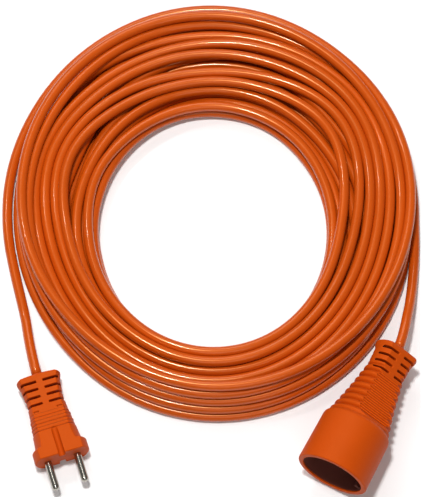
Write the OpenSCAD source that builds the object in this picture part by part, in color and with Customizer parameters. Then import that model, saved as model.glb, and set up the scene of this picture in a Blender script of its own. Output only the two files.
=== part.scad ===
// Two-core extension cord: contour plug, coiled cord and one-way coupler, lying flat.
// Millimetres, +Z up, floor at z = 0, origin at the middle of the footprint.

/* [Cord] */
// Outside diameter of the sheath
cord_d = 6.6; // [6.2:0.1:6.8]
// Diameter of one insulated core
core_d = 2.8; // [2.4:0.1:2.9]
// Diameter of one core's bared copper
strand_d = 2.2; // [1.6:0.1:2.2]

/* [Coil] */
// Whole loops in the coil
coil_loops = 22; // [18:1:22]
// Piled layers of loops
coil_layers = 4; // [2:2:4]
// Mean centreline radius of the innermost loop
coil_inner_r = 79.8; // [70:0.1:90]
// How far the innermost loop is longer than round
coil_oval = 3.7; // [0:0.1:5]
// Mean step from one loop to the next
coil_pitch = 9.27; // [9.2:0.01:10]
// Extra step where the loops lie loosest, and missing step opposite
coil_lean = 2.48; // [0:0.01:2.5]
// Direction in which the loops lie loosest
coil_lean_angle = 78.5; // [60:0.5:100]
// Step taken off at the sides and added at the top and bottom
coil_pitch_oval = 0.3; // [0:0.05:0.4]
// Free height between two piled layers
coil_layer_gap = 0.45; // [0.45:0.05:1]
// Direction in which the coupler's end leaves the coil
coil_start_angle = 5; // [0:1:8]
// Direction in which the plug's end leaves the coil
coil_end_angle = 200; // [196:1:204]

/* [Strain relief] */
// Radius of the flange where the cord enters the plug
plug_flange_r = 14.4; // [13:0.1:15]
// Radius of the flange where the cord enters the coupler
coupler_flange_r = 14.3; // [13.8:0.1:15.5]
// Slot rows in each strain relief
slot_rows = 4; // [2:1:4]
// Distance from the cord's entry to the first slot row
slot_first = 6.6; // [5.5:0.1:7]
// Step from one slot row to the next
slot_pitch = 4.85; // [4:0.05:5]
// Width of a slot
slot_w = 1.6; // [1.2:0.1:2.2]
// Width of the web between a left and a right slot
slot_web = 4.1; // [3:0.1:6]
// Reach of a slot from the middle
slot_reach = 12.2; // [10.5:0.1:12.4]
// Wall kept round the cord inside the strain relief
relief_wall = 1.6; // [1:0.1:2]
// How far the roof of the flange rises towards the cord
roof_l = 2.2; // [1.5:0.1:2.6]

/* [Plug] */
// Body length from the cord's entry to the face
plug_l = 57.2; // [56:0.1:62]
// Height of the plug's strain relief, flat side to flat side
plug_h = 17; // [16:0.1:18]
// Height of the plug's face
plug_face_h = 23; // [22:0.1:24]
// Width of the face, end to end
plug_face_w = 35.4; // [34.6:0.1:36]
// Length of the flange behind the face
plug_face_l = 7.7; // [6:0.1:9]
// Radius at the waist, behind the slots
plug_waist_r = 11.8; // [11.4:0.1:12.4]
// Radius at the shoulder, before the face flange
plug_shoulder_r = 14.7; // [14.2:0.1:15.5]
// Width of the guide channel in each flat side
channel_w = 4.1; // [3.4:0.1:4.6]
// Depth of the guide channel at the face
channel_depth = 6.4; // [5:0.1:6.6]
// Length of the guide channel
channel_l = 17.6; // [15:0.1:20]
// Depth of the guide channel at its rounded start
channel_start = 0.9; // [0.5:0.1:1.5]
// Length of the moulded head with the grip terraces, from the face backwards
plug_head_l = 27.3; // [26:0.1:29]
// Step from one grip terrace to the next
terrace_step = 4.65; // [4:0.05:5]
// Rise of a grip terrace
terrace_rise = 0.45; // [0.2:0.05:0.6]

/* [Pins and contacts] */
// Distance between the two pins, and between the two contacts
pin_pitch = 19; // [18.6:0.1:19.4]
// Diameter of a pin
pin_d = 4.8; // [4.6:0.05:5]
// Free length of a pin
pin_l = 19; // [17:0.5:20]
// Radius of a pin's rounded tip
pin_tip_r = 2; // [1:0.1:2.2]
// Diameter of a contact hole in the coupler
hole_d = 5.4; // [5.2:0.1:6]
// Inside diameter of a contact sleeve
contact_d = 5; // [4.9:0.05:5.1]
// Wall of a contact sleeve and of a crimp barrel
contact_wall = 0.5; // [0.3:0.05:0.6]

/* [Coupler] */
// Length from the cord's entry to the mouth
coupler_l = 95.2; // [90:0.1:104]
// Radius of the collar at its mouth
collar_r = 23.4; // [23:0.1:24.5]
// Radius of the collar at its shoulder
collar_back_r = 22.8; // [22.6:0.1:23.4]
// Length of the collar, from its shoulder to the mouth
collar_l = 35; // [33:0.5:36]
// Radius of the recess
recess_r = 20; // [19.6:0.1:20.2]
// Depth of the recess
recess_depth = 17.5; // [16:0.1:18]
// Wall of the dark insert
insert_wall = 1.2; // [0.8:0.1:1.4]
// Thickness of the dark face plate with the two contact holes
face_t = 3; // [2:0.1:3.4]
// Lip that the collar folds over the insert's edge
lip_l = 1.4; // [1:0.1:2]
// Rounded ribs along the grip
grip_ribs = 8; // [5:1:8]
// Depth of the grooves between the ribs
rib_depth = 1.9; // [0.8:0.1:2]
// Radius of the grip at the strain relief
grip_back_r = 13.2; // [12.8:0.1:13.4]
// Half the grip's height over its two flat pads, at the strain relief
pad_back_h = 9.7; // [9:0.1:10.5]
// Half the grip's height over its two flat pads, at the collar
pad_front_h = 16.1; // [15:0.1:16.5]
// Width of a guide rib inside the recess
guide_w = 3.4; // [2.5:0.1:3.8]
// Height of a guide rib inside the recess
guide_h = 2.6; // [1.5:0.1:3]

/* [Hidden] */

orange = [0.86, 0.34, 0.1];
dark = [0.17, 0.1, 0.1];
nickel = [0.78, 0.78, 0.77];
copper = [0.8, 0.45, 0.28];
brown = [0.35, 0.2, 0.12];
blue = [0.12, 0.35, 0.7];
pale = [0.85, 0.83, 0.78];
fine = 48;

// clearance between a moulded body and what it holds
fit = 0.05;
cord_r = cord_d / 2;

// where the plug lies: cord's entry, turn of its axis, half its height above the floor
plug_at = [-110.4, -86.65];
plug_turn = -72.6;
plug_z = plug_face_h / 2;
plug_dir = [cos(plug_turn), sin(plug_turn), 0];
plug_entry = [plug_at[0], plug_at[1], plug_z];

// where the coupler lies: on the heel of its collar, mouth raised and rolled a little
coupler_at = [118.3, -71.55];
coupler_turn = -117.2;
coupler_tip = 3.5;
coupler_roll = -30;
collar_at = coupler_l - collar_l;
heel_at = collar_at + 1.6;
coupler_z = collar_back_r * cos(coupler_tip) - heel_at * sin(coupler_tip);
coupler_dir = [cos(coupler_turn) * cos(coupler_tip), sin(coupler_turn) * cos(coupler_tip),
    sin(coupler_tip)];
coupler_entry = [coupler_at[0], coupler_at[1], coupler_z];

// tubes: sides and rings of the coil, sides of the free leads
coil_sides = 6;
coil_rings = 24;
lead_sides = 8;

// the coil's middle, its layers and its ends
coil_middle = [1.2, 12.15];
coil_turns = coil_loops + (coil_end_angle - coil_start_angle) / 360;
coil_run = coil_turns / coil_layers;
coil_step_up = cord_d + coil_layer_gap;
coil_floor_z = cord_r * cos(180 / coil_sides);
lead_z = cord_r * cos(180 / lead_sides);

// the last loop steps outwards, then down to the floor, this far ahead of its end
aside_from = 125;
aside_to = 85;
down_from = 108;
down_to = 52;
aside_by = cord_d + 2.2;

// free stretches between the coil and the two ends
plug_route = [[-117, -45.1, 3.3], [-116, -55.9, 5.2], [-114.4, -67.5, 8.2], [-112.4, -78.8, 10.9]];
coupler_route = [[131.3, 3.1, 3.2], [130.3, -12.7, 4], [128.6, -27.6, 6.6], [126.6, -39.9, 10.2],
    [124.6, -48.9, 13.8], [122.7, -57.8, 16.9], [120.7, -65.4, 18.5]];

// the plug's moulding, measured from the cord's entry
edge = 0.7;
relief_l = slot_first + slot_rows * slot_pitch;
waist_at = relief_l - 7;
head_at = plug_l - plug_head_l;
flange_at = plug_l - plug_face_l;
waist_h = plug_h / 2 - 1.3;
shoulder_h = plug_face_h / 2 - 0.3;
pocket_depth = 0.9;

// inside the plug, measured back from its face
strip_l = 6;
spigot_l = 3.4;
bridge_l = 9.8;
bridge_skin = 0.9;
bridge_h = plug_face_h - 2 * (channel_depth + bridge_skin);
bridge_front = plug_l - 2;
bridge_back = bridge_front - bridge_l;
plug_pin_back = bridge_back - 3.6;
plug_core_l = plug_pin_back - strip_l;
plug_sheath_l = plug_core_l - 14;
plug_crimp_l = strip_l + spigot_l - 0.6;
shank_r = pin_d / 2 - 0.5;
spigot_r = strand_d / 2;
crimp_r = strand_d / 2 + contact_wall;

// the coupler's moulding, measured from the cord's entry
grip_from = 19.4;
pad_end = collar_at - 5.5;
grip_curve = 1.35;
grip_steps = 5;

// inside the coupler, measured back from its mouth
recess_floor = coupler_l - recess_depth;
face_back = recess_floor - face_t;
insert_r = recess_r + insert_wall;
carrier_l = 19;
carrier_r = 15.5;
carrier_back = face_back - carrier_l;
contact_front = face_back - 0.4;
contact_l = 15;
contact_back = contact_front - contact_l;
contact_r = contact_d / 2 + contact_wall;
contact_slit = 0.8;
spring_wall = 0.5;
spring_l = 7;
tail_l = strip_l + 3;
coupler_core_l = contact_back - tail_l;
coupler_sheath_l = coupler_core_l - 25;

// ---- small helpers ----

function clamp01(u) = min(1, max(0, u));
function ease(u) = let (c = clamp01(u)) c * c * (3 - 2 * c);
function unit(v) = v / norm(v);

// ---- the coil's path ----

function coil_inner(a) = coil_inner_r - coil_oval * cos(2 * a);
function coil_step(a) = coil_pitch + coil_lean * cos(a - coil_lean_angle)
    - coil_pitch_oval * cos(2 * a);

// steps outside the innermost loop after t turns: in and out again, layer by layer
function coil_wound(t) = let (k = min(coil_layers - 1, floor(t / coil_run)), u = t - k * coil_run)
    k % 2 == 0 ? coil_run - u : u;

// layers climbed after t turns, each in the half turn where the spiral reverses
function coil_climbed(t, k = 1) = k >= coil_layers ? 0
    : clamp01((t - k * coil_run + 0.25) * 2) + coil_climbed(t, k + 1);

// share of a move made between two angles ahead of the coil's end
function coil_ending(t, from, to) = ease((from - (coil_turns - t) * 360) / (from - to));

function coil_height(t) = coil_floor_z
    + coil_step_up * coil_climbed(t) * (1 - coil_ending(t, down_from, down_to))
    + (lead_z - coil_floor_z) * (1 - clamp01(min(t, coil_turns - t) * coil_rings));

function coil_point(t) = let (
        a = coil_start_angle + 360 * t,
        r = coil_inner(a) + coil_wound(t) * coil_step(a)
            + aside_by * coil_ending(t, aside_from, aside_to))
    [coil_middle[0] + r * cos(a), coil_middle[1] + r * sin(a), coil_height(t)];

function level(v) = unit([v[0], v[1], 0]);
coil_count = ceil(coil_turns * coil_rings);
coil_body = [for (i = [0:coil_count]) coil_point(coil_turns * i / coil_count)];
coil_start_dir = level(coil_point(0) - coil_point(0.01));
coil_end_dir = level(coil_point(coil_turns) - coil_point(coil_turns - 0.01));
coil_start = coil_point(0) + coil_start_dir * cord_d;
coil_end = coil_point(coil_turns) + coil_end_dir * cord_d;
coil_path = concat([coil_start], coil_body, [coil_end]);

// least distance between the skins of two loops, on rings that lie side by side
coil_gaps = [for (i = [0:coil_count - coil_rings], j = [i + coil_rings - 1:coil_rings:coil_count])
    for (k = [j:min(j + 2, coil_count)]) norm(coil_body[i] - coil_body[k]) - cord_d];
function path_length(p) = let (steps = [for (i = [1:len(p) - 1]) norm(p[i] - p[i - 1])])
    steps * [for (s = steps) 1];
union() {  // coil
    echo(coil_least_gap_mm = min(coil_gaps));
    echo(coil_length_m = path_length(coil_path) / 1000);
    echo(coil_start = coil_start, coil_start_dir = coil_start_dir);
    echo(coil_end = coil_end, coil_end_dir = coil_end_dir);
}

// ---- tubes swept along a path ----

// the corners of one ring, with a flat side turned away from the up direction
function ring(at, along, r, sides, upwards) = let (
        side = unit(cross(along, upwards)),
        up = cross(side, along))
    [for (k = [0:sides - 1]) let (a = 270 + (k + 0.5) * 360 / sides)
        at + r * (cos(a) * side + sin(a) * up)];

// the tangent at point i, with the given directions at the two ends
function along_path(p, i, first, last) = i == 0 ? first : i == len(p) - 1 ? last
    : unit(unit(p[i + 1] - p[i]) + unit(p[i] - p[i - 1]));

module tube(p, first, last, r, sides, upwards = [0, 0, 1]) {
    n = len(p);
    rings = [for (i = [0:n - 1])
        each ring(p[i], along_path(p, i, first, last), r, sides, upwards)];
    walls = [for (i = [0:n - 2], k = [0:sides - 1]) let (
            a = i * sides + k,
            b = i * sides + (k + 1) % sides)
        each [[a, b, a + sides], [b, b + sides, a + sides]]];
    caps = [for (k = [1:sides - 2]) each [[0, k + 1, k],
        [(n - 1) * sides, (n - 1) * sides + k, (n - 1) * sides + k + 1]]];
    polyhedron(points = rings, faces = concat(walls, caps), convexity = 20);
}

// ---- placing: +Z of a piece runs from the cord's entry to the front ----

module at_plug() {
    translate(plug_entry) rotate([0, 0, plug_turn]) rotate([90, 0, 90]) children();
}

module at_coupler() {
    translate(coupler_entry) rotate([0, -coupler_tip, coupler_turn]) rotate([coupler_roll, 0, 0])
        rotate([90, 0, 90]) children();
}

// a solid turned from a profile of [distance along, radius] points
module turned(profile) {
    rotate_extrude($fn = 96) polygon([for (p = profile) [p[1], p[0]]]);
}

// the roofed flange where the cord enters, falling back to a smaller radius behind it
function flange_profile(r, back_r) = [[0, 0], [0, cord_r + 1], [roof_l / 3, cord_r + 1.4],
    [roof_l, r - edge], [roof_l + edge, r], [2 * roof_l, r - 0.2], [3.6 * roof_l, back_r]];

// a slab whose two faces follow [distance along, half height] points
module slab(profile, w) {
    lower = [for (i = [len(profile) - 1:-1:0]) [profile[i][0], -profile[i][1]]];
    rotate([0, -90, 0]) linear_extrude(w, center = true) polygon(concat(profile, lower));
}

// one core: out of the sheath at its side of the middle, then level with its contact
function core_path(axis, sheath_l, straight_at, end_at) = [
    axis * core_d / 2 + [0, 0, sheath_l],
    axis * core_d / 2 + [0, 0, sheath_l + 1.5],
    axis * pin_pitch / 2 + [0, 0, straight_at],
    axis * pin_pitch / 2 + [0, 0, end_at]];

module core(path, axis) {
    tube(path, [0, 0, 1], [0, 0, 1], core_d / 2, lead_sides, cross(axis, [0, 0, 1]));
}

// the forked passage that both cores lie in, square in section
module core_fork(path) {
    room = 0.65 * core_d;
    rotate([90, 0, 0]) linear_extrude(core_d + 2 * fit, center = true)
        for (side = [-1, 1])
            polygon(concat([for (p = path) [side * (norm([p[0], p[1]]) - room), p[2]]],
                [for (i = [len(path) - 1:-1:0])
                    [side * (norm([path[i][0], path[i][1]]) + room), path[i][2]]]));
}

// the strain relief's slots: a left and a right one in each row, kept clear of the cord
module relief_slots(h) {
    difference() {
        for (row = [0:slot_rows - 1], side = [-1, 1])
            translate([side * (slot_web / 2 + slot_reach) / 2, 0, slot_first + row * slot_pitch])
                cube([slot_reach - slot_web / 2, h, slot_w], center = true);
        cylinder(h = plug_l, r = cord_r + relief_wall, $fn = fine);
    }
}

// ---- plug ----

// a measure that grows from low at the waist to high at the face flange
function rising(z, low, high) = low
    + (high - low) * clamp01((z - waist_at) / (flange_at - waist_at));

// each grip terrace is a low step up towards the face
function terraces(low, high) = [for (k = [0:2]) let (z = head_at + k * terrace_step) each [
    [z, rising(z, low, high)],
    [z + terrace_rise, rising(z, low, high) + terrace_rise]]];

// half the height of the plug's head, without its terraces
function head_h(z) = rising(z, waist_h, shoulder_h);

module plug_side_pockets() {
    for (side = [-1, 1], up = [-1, 1])
        translate([side * (plug_waist_r - 4.2), up * (head_h(relief_l) - pocket_depth / 2), relief_l])
            cube([3.6, pocket_depth + 2 * fit, slot_w - 0.3], center = true);
}

// a ramp down to the face in each flat side, with a rounded start
module plug_channels() {
    floor_at_face = plug_face_h / 2 - channel_depth;
    floor_at_start = head_h(plug_l - channel_l) - channel_start;
    tip = atan2(floor_at_start - floor_at_face, channel_l);
    for (up = [0, 180])
        rotate([0, 0, up]) translate([0, floor_at_face + channel_w / 2, plug_l])
            rotate([180 + tip, 0, 0]) {
                translate([0, 0, -2]) cylinder(h = channel_l + 2, d = channel_w, $fn = fine);
                translate([0, 0, channel_l]) sphere(d = channel_w, $fn = fine);
                translate([-channel_w / 2, -plug_face_h, -2])
                    cube([channel_w, plug_face_h, channel_l + 2]);
            }
}

module plug_shape() {
    flat = plug_h / 2;
    intersection() {
        turned(concat(flange_profile(plug_flange_r, plug_waist_r + 1.2),
            [[waist_at, plug_waist_r]],
            terraces(plug_waist_r, plug_shoulder_r),
            [[flange_at - 4, plug_shoulder_r], [flange_at, plug_shoulder_r + edge],
                [flange_at, plug_face_w / 2 - edge], [flange_at + edge, plug_face_w / 2],
                [plug_l - edge, plug_face_w / 2], [plug_l, plug_face_w / 2 - edge],
                [plug_l, 0]]));
        slab(concat([[0, flat - 3.6], [roof_l, flat - 0.4], [2 * roof_l, flat - 0.3],
            [waist_at, waist_h]], terraces(waist_h, shoulder_h),
            [[flange_at - edge, shoulder_h], [flange_at, plug_face_h / 2],
                [plug_l - edge, plug_face_h / 2], [plug_l, plug_face_h / 2 - edge]]),
            plug_face_w + 1);
    }
}

module plug_body() {
    color(orange) at_plug() difference() {
        plug_shape();
        relief_slots(plug_h + 1);
        plug_side_pockets();
        plug_channels();
        plug_sheath_solid(fit);
        plug_bridge_solid(fit);
        core_fork(plug_core_path([1, 0, 0]));
        for (side = [-1, 1]) {
            translate([side * pin_pitch / 2, 0, plug_core_l])
                cylinder(h = bridge_front - plug_core_l, r = crimp_r + fit, $fn = fine);
            translate([side * pin_pitch / 2, 0, bridge_front])
                cylinder(h = plug_l, r = shank_r + fit, $fn = fine);
        }
    }
}

module plug_bridge_solid(grow = 0) {
    h = bridge_h + 2 * grow;
    translate([0, 0, bridge_front - bridge_l - grow])
        linear_extrude(bridge_l + grow) union() {
            square([pin_pitch, h], center = true);
            for (side = [-1, 1])
                translate([side * pin_pitch / 2, 0]) circle(d = h, $fn = fine);
        }
}

module plug_bridge() {
    color(pale) at_plug() difference() {
        plug_bridge_solid();
        for (side = [-1, 1])
            translate([side * pin_pitch / 2, 0, 0])
                cylinder(h = plug_l, r = shank_r + fit, $fn = fine);
    }
}

module plug_pin(side) {
    shank_at = plug_pin_back + spigot_l;
    tip_at = plug_l + pin_l;
    color(nickel) at_plug() translate([side * pin_pitch / 2, 0, 0])
        rotate_extrude($fn = 96) {
            polygon([[0, plug_pin_back], [spigot_r, plug_pin_back], [spigot_r, shank_at],
                [shank_r, shank_at], [shank_r, plug_l], [pin_d / 2, plug_l],
                [pin_d / 2, tip_at - pin_tip_r], [0, tip_at - pin_tip_r]]);
            translate([0, tip_at - pin_tip_r]) square([pin_d / 2 - pin_tip_r, pin_tip_r]);
            intersection() {
                translate([pin_d / 2 - pin_tip_r, tip_at - pin_tip_r]) circle(pin_tip_r, $fn = fine);
                translate([pin_d / 2 - pin_tip_r, tip_at - pin_tip_r]) square(pin_tip_r);
            }
        }
}

module plug_pin_left() { plug_pin(-1); }
module plug_pin_right() { plug_pin(1); }

// a sleeve crimped over the pin's spigot and the core's strands
module plug_crimp(side) {
    color(nickel) at_plug() translate([side * pin_pitch / 2, 0, plug_core_l + fit])
        difference() {
            cylinder(h = plug_crimp_l, r = crimp_r, $fn = fine);
            translate([0, 0, -1]) cylinder(h = plug_crimp_l + 2, r = spigot_r + fit, $fn = fine);
        }
}

module plug_crimp_left() { plug_crimp(-1); }
module plug_crimp_right() { plug_crimp(1); }

module plug_strands(side) {
    color(copper) at_plug() translate([side * pin_pitch / 2, 0, plug_core_l])
        cylinder(h = plug_pin_back - plug_core_l - fit, d = strand_d, $fn = fine);
}

module plug_strands_brown() { plug_strands(-1); }
module plug_strands_blue() { plug_strands(1); }

function plug_core_path(axis) = core_path(axis, plug_sheath_l, plug_core_l - 3, plug_core_l);

module plug_core(color_name, axis) {
    color(color_name) at_plug() core(plug_core_path(axis), axis);
}

module plug_core_brown() { plug_core(brown, [-1, 0, 0]); }
module plug_core_blue() { plug_core(blue, [1, 0, 0]); }

module plug_sheath_solid(grow = 0) {
    translate([0, 0, -grow]) cylinder(h = plug_sheath_l + grow, r = cord_r + grow, $fn = fine);
}

module plug_sheath_end() { color(orange) at_plug() plug_sheath_solid(); }

// ---- cord ----

module plug_lead() {
    color(orange)
        tube(concat([coil_end], plug_route, [plug_entry]), coil_end_dir, plug_dir, cord_r, lead_sides);
}

module coil() {
    color(orange) tube(coil_path, -coil_start_dir, coil_end_dir, cord_r, coil_sides);
}

module coupler_lead() {
    color(orange)
        tube(concat([coil_start], coupler_route, [coupler_entry]), coil_start_dir, coupler_dir,
            cord_r, lead_sides);
}

// ---- coupler ----

// share of the way along the grip, bent so that it widens faster towards the collar
function grip_share(z) = pow(clamp01((z - grip_from) / (pad_end + 3 - grip_from)), grip_curve);
function grip_r(z) = grip_back_r + (collar_back_r - 2 - grip_back_r) * grip_share(z);
function pad_h(z) = pad_back_h + (pad_front_h - pad_back_h) * grip_share(z);

// rounded ribs: each is a full crest between two sharp grooves
function rib_profile() = let (pitch = (collar_at - 1.5 - grip_from) / grip_ribs)
    [for (i = [0:grip_ribs - 1], u = [0, 0.15, 0.35, 0.5, 0.65, 0.85])
        let (z = grip_from + (i + u) * pitch)
        [z, grip_r(z) - rib_depth * (1 - pow(sin(180 * u), 0.7))]];

module coupler_shape() {
    over = collar_r + 1;
    flat = pad_back_h + 0.4;
    intersection() {
        turned(concat(flange_profile(coupler_flange_r, coupler_flange_r - 1.4),
            [[grip_from - 1, coupler_flange_r - 1.7]],
            rib_profile(),
            [[collar_at - 1.4, collar_back_r - 1.4], [collar_at, collar_back_r - 0.3],
                [heel_at, collar_back_r], [coupler_l - edge, collar_r],
                [coupler_l, collar_r - edge], [coupler_l, 0]]));
        slab(concat([[0, flat - 4.5], [roof_l, flat - 0.6], [2 * roof_l, flat]],
            [for (i = [0:grip_steps]) let (z = grip_from + (pad_end - grip_from) * i / grip_steps)
                [z, pad_h(z)]],
            [[pad_end + 2.5, pad_front_h + 3.2], [pad_end + 4, over], [coupler_l + 1, over]]),
            2 * over);
    }
}

// everything that the moulding is cast round, and the recess
module coupler_hollows() {
    relief_slots(2 * coupler_flange_r);
    translate([0, 0, face_back - fit])
        cylinder(h = coupler_l - lip_l - face_back + 2 * fit, r = insert_r + fit, $fn = 96);
    translate([0, 0, recess_floor]) cylinder(h = recess_depth + 1, r = recess_r, $fn = 96);
    coupler_carrier_solid(fit);
    coupler_sheath_solid(fit);
    rotate([0, 0, 90]) core_fork(coupler_core_path([1, 0, 0]));
    for (side = [-1, 1])
        translate([0, side * pin_pitch / 2, coupler_core_l])
            cylinder(h = carrier_l, r = crimp_r + fit, $fn = fine);
}

// the moulding is parted at the collar's shoulder
module coupler_part(from, to) {
    color(orange) at_coupler() difference() {
        intersection() {
            coupler_shape();
            translate([0, 0, from]) cylinder(h = to - from, r = 2 * collar_r, $fn = 96);
        }
        coupler_hollows();
    }
}

module coupler_grip() { coupler_part(-1, collar_at); }
module coupler_collar() { coupler_part(collar_at, coupler_l + 1); }

// dark ring that lines the recess, with its two guide ribs
module coupler_insert() {
    rib_l = recess_depth - lip_l - 2;
    color(dark) at_coupler() {
        difference() {
            translate([0, 0, recess_floor])
                cylinder(h = recess_depth - lip_l, r = insert_r, $fn = 96);
            translate([0, 0, recess_floor - 1])
                cylinder(h = recess_depth + 1, r = recess_r, $fn = 96);
        }
        intersection() {
            for (side = [-1, 1])
                translate([side * recess_r, 0, recess_floor + rib_l / 2])
                    cube([2 * guide_h, guide_w, rib_l], center = true);
            translate([0, 0, recess_floor])
                cylinder(h = recess_depth, r = recess_r + insert_wall / 3, $fn = 96);
        }
    }
}

// dark plate that closes the carrier and has the two contact holes
module coupler_face() {
    color(dark) at_coupler() difference() {
        translate([0, 0, face_back]) cylinder(h = face_t, r = insert_r, $fn = 96);
        for (side = [-1, 1])
            translate([0, side * pin_pitch / 2, face_back - 1])
                cylinder(h = face_t + 2, d = hole_d, $fn = fine);
    }
}

module coupler_carrier_solid(grow = 0) {
    translate([0, 0, carrier_back - grow])
        cylinder(h = carrier_l - fit + grow, r = carrier_r + grow, $fn = 96);
}

module coupler_carrier() {
    color(pale) at_coupler() difference() {
        coupler_carrier_solid();
        for (side = [-1, 1]) {
            translate([0, side * pin_pitch / 2, carrier_back - 1])
                cylinder(h = carrier_l + 2, r = crimp_r + fit, $fn = fine);
            translate([0, side * pin_pitch / 2, contact_back - fit])
                cylinder(h = carrier_l, r = contact_r + spring_wall + 2 * fit, $fn = fine);
        }
    }
}

// a slit sleeve that grips a pin, with a crimped tail at its back
module coupler_contact(side) {
    color(copper) at_coupler() translate([0, side * pin_pitch / 2, contact_back]) {
        difference() {
            cylinder(h = contact_l, r = contact_r, $fn = fine);
            translate([0, 0, 1]) cylinder(h = contact_l, d = contact_d, $fn = fine);
            translate([0, 0, 4 + contact_l / 2])
                cube([contact_slit, 2 * contact_r + 1, contact_l], center = true);
        }
        translate([0, 0, -tail_l]) difference() {
            cylinder(h = tail_l, r = crimp_r, $fn = fine);
            translate([0, 0, -1]) cylinder(h = tail_l, d = strand_d + 2 * fit, $fn = fine);
        }
    }
}

module coupler_contact_upper() { coupler_contact(1); }
module coupler_contact_lower() { coupler_contact(-1); }

// an open ring that presses the slit sleeve together
module coupler_spring(side) {
    color(nickel) at_coupler()
        translate([0, side * pin_pitch / 2, contact_front - spring_l - 1]) difference() {
            cylinder(h = spring_l, r = contact_r + fit + spring_wall, $fn = fine);
            translate([0, 0, -1]) cylinder(h = spring_l + 2, r = contact_r + fit, $fn = fine);
            translate([contact_r, 0, spring_l / 2]) cube([3, 1, spring_l + 2], center = true);
        }
}

module coupler_spring_upper() { coupler_spring(1); }
module coupler_spring_lower() { coupler_spring(-1); }

module coupler_strands(side) {
    color(copper) at_coupler() translate([0, side * pin_pitch / 2, coupler_core_l])
        cylinder(h = tail_l - 1.2, d = strand_d, $fn = fine);
}

module coupler_strands_brown() { coupler_strands(1); }
module coupler_strands_blue() { coupler_strands(-1); }

function coupler_core_path(axis) = core_path(axis, coupler_sheath_l, coupler_core_l - 4,
    coupler_core_l);

module coupler_core(color_name, axis) {
    color(color_name) at_coupler() core(coupler_core_path(axis), axis);
}

module coupler_core_brown() { coupler_core(brown, [0, 1, 0]); }
module coupler_core_blue() { coupler_core(blue, [0, -1, 0]); }

module coupler_sheath_solid(grow = 0) {
    translate([0, 0, -grow]) cylinder(h = coupler_sheath_l + grow, r = cord_r + grow, $fn = fine);
}

module coupler_sheath_end() { color(orange) at_coupler() coupler_sheath_solid(); }

plug_body();
plug_bridge();
plug_pin_left();
plug_pin_right();
plug_crimp_left();
plug_crimp_right();
plug_strands_brown();
plug_strands_blue();
plug_core_brown();
plug_core_blue();
plug_sheath_end();
plug_lead();
coil();
coupler_lead();
coupler_grip();
coupler_collar();
coupler_insert();
coupler_face();
coupler_carrier();
coupler_contact_upper();
coupler_contact_lower();
coupler_spring_upper();
coupler_spring_lower();
coupler_strands_brown();
coupler_strands_blue();
coupler_core_brown();
coupler_core_blue();
coupler_sheath_end();
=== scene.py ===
"""Coiled extension cord with a moulded contour plug and a one-way coupler.

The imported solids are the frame. The cord is laid turn by turn and settled under its own
weight, the two mouldings get the soft edges and fine ridges of moulded PVC, and each piece
gets its own finish. Lengths are in metres unless a name or a comment says millimetres.
"""

import logging
import math
from dataclasses import dataclass
from enum import Enum

import bpy
import numpy as np
from mathutils import Matrix, Vector


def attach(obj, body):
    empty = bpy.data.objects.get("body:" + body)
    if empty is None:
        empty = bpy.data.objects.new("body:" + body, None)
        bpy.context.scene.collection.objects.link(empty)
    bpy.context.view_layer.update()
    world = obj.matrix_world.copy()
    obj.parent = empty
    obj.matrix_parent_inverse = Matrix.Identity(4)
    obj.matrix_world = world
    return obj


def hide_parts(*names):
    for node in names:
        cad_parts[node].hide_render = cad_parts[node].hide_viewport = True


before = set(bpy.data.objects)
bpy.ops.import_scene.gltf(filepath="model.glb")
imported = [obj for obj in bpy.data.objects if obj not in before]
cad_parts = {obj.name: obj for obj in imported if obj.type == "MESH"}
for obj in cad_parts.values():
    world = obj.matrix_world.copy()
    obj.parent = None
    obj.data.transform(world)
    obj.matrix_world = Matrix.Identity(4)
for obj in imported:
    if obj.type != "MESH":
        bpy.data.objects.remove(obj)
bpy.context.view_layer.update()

MM = 0.001
LOG = logging.getLogger("extension_cord")


def ease(share: np.ndarray) -> np.ndarray:
    """Smooth step from 0 to 1.

    Args:
        share: position between the two ends, below 0 and above 1 allowed.

    Returns:
        The eased share, from 0 to 1.
    """
    s = np.clip(share, 0.0, 1.0)
    return s * s * (3.0 - 2.0 * s)


def turned(degrees: np.ndarray) -> np.ndarray:
    """The same direction between -180 and 180 degrees."""
    return (degrees + 180.0) % 360.0 - 180.0


# ---------------------------------------------------------------- studio


@dataclass
class SoftLight:
    """One square soft light, turned to the object.

    Attributes:
        name: the light's name.
        place: where it hangs.
        side: length of its side.
        power: in watts.
    """

    name: str
    place: tuple[float, float, float]
    side: float
    power: float

    def hang(self) -> None:
        """Adds the light to the scene."""
        data = bpy.data.lights.new(self.name, "AREA")
        data.size = self.side
        data.energy = self.power
        lamp = bpy.data.objects.new(self.name, data)
        lamp.location = self.place
        lamp.rotation_euler = (-Vector(self.place)).to_track_quat("-Z", "Y").to_euler()
        bpy.context.scene.collection.objects.link(lamp)


LIGHTS = (
    SoftLight("key_light", (-0.20, 0.08, 2.1), 0.20, 32.5),
    SoftLight("front_light", (0.3, -1.5, 1.8), 1.3, 9.0),
    SoftLight("back_light", (-0.3, 1.6, 1.6), 1.2, 16.0),
    SoftLight("side_light", (-1.0, 0.75, 1.8), 0.10, 5.5),
)


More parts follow.
